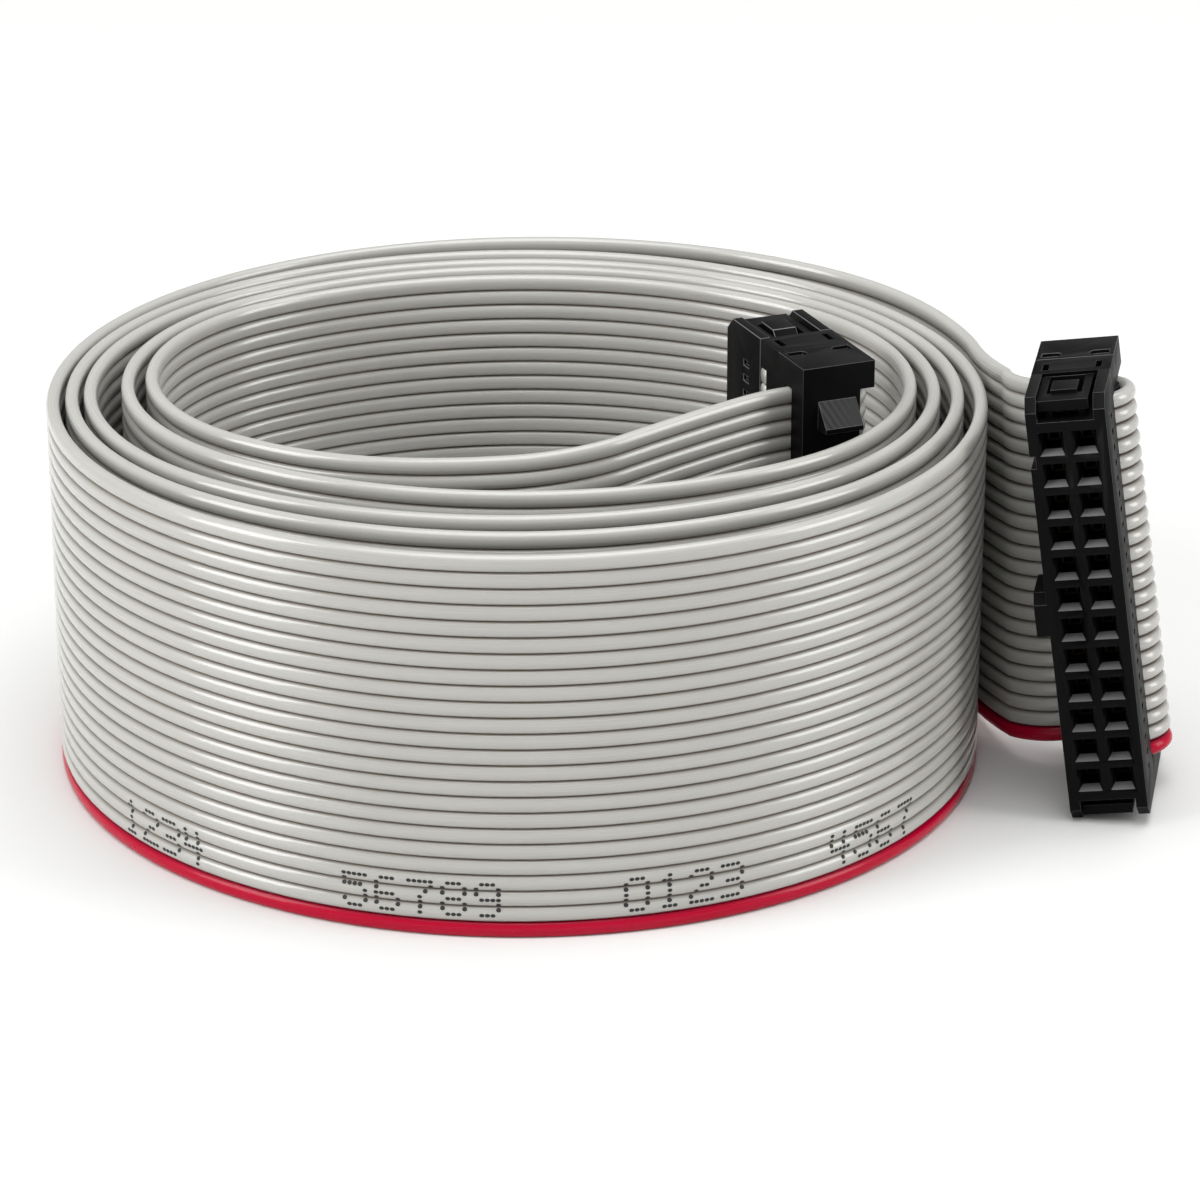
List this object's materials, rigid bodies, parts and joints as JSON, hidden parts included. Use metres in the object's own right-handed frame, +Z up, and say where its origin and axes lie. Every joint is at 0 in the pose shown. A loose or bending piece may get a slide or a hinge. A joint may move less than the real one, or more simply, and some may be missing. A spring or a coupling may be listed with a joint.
{
  "type": "ribbon cable",
  "caption": "Coiled grey flat ribbon cable with a red edge conductor and a black two-row crimped socket connector at each end, coiled standing on its edge.",
  "frame": {"origin": "on the floor that the coil stands on, in the middle of the footprint of the coil and the outer socket", "axes": "+Z up, along the width of the standing ribbon; +X from the coil towards the outer socket; the mating face of the outer socket looks to -Y"},
  "size_m": [0.0892, 0.0754, 0.0355],
  "materials": {
    "grey_pvc": "satin flexible PVC",
    "red_pvc": "satin flexible PVC",
    "black_plastic": "fine-textured glass-filled polyester",
    "contact_metal": "plated phosphor bronze"
  },
  "bodies": {
    "root": {"grey_ribbon": "grey_pvc", "red_edge_wire": "red_pvc", "outer_socket_body": "black_plastic", "outer_cover": "black_plastic", "outer_strain_relief": "black_plastic", "inner_socket_body": "black_plastic", "inner_cover": "black_plastic", "inner_strain_relief": "black_plastic", "outer_contacts": "contact_metal", "inner_contacts": "contact_metal"}
  },
  "joints": []
}
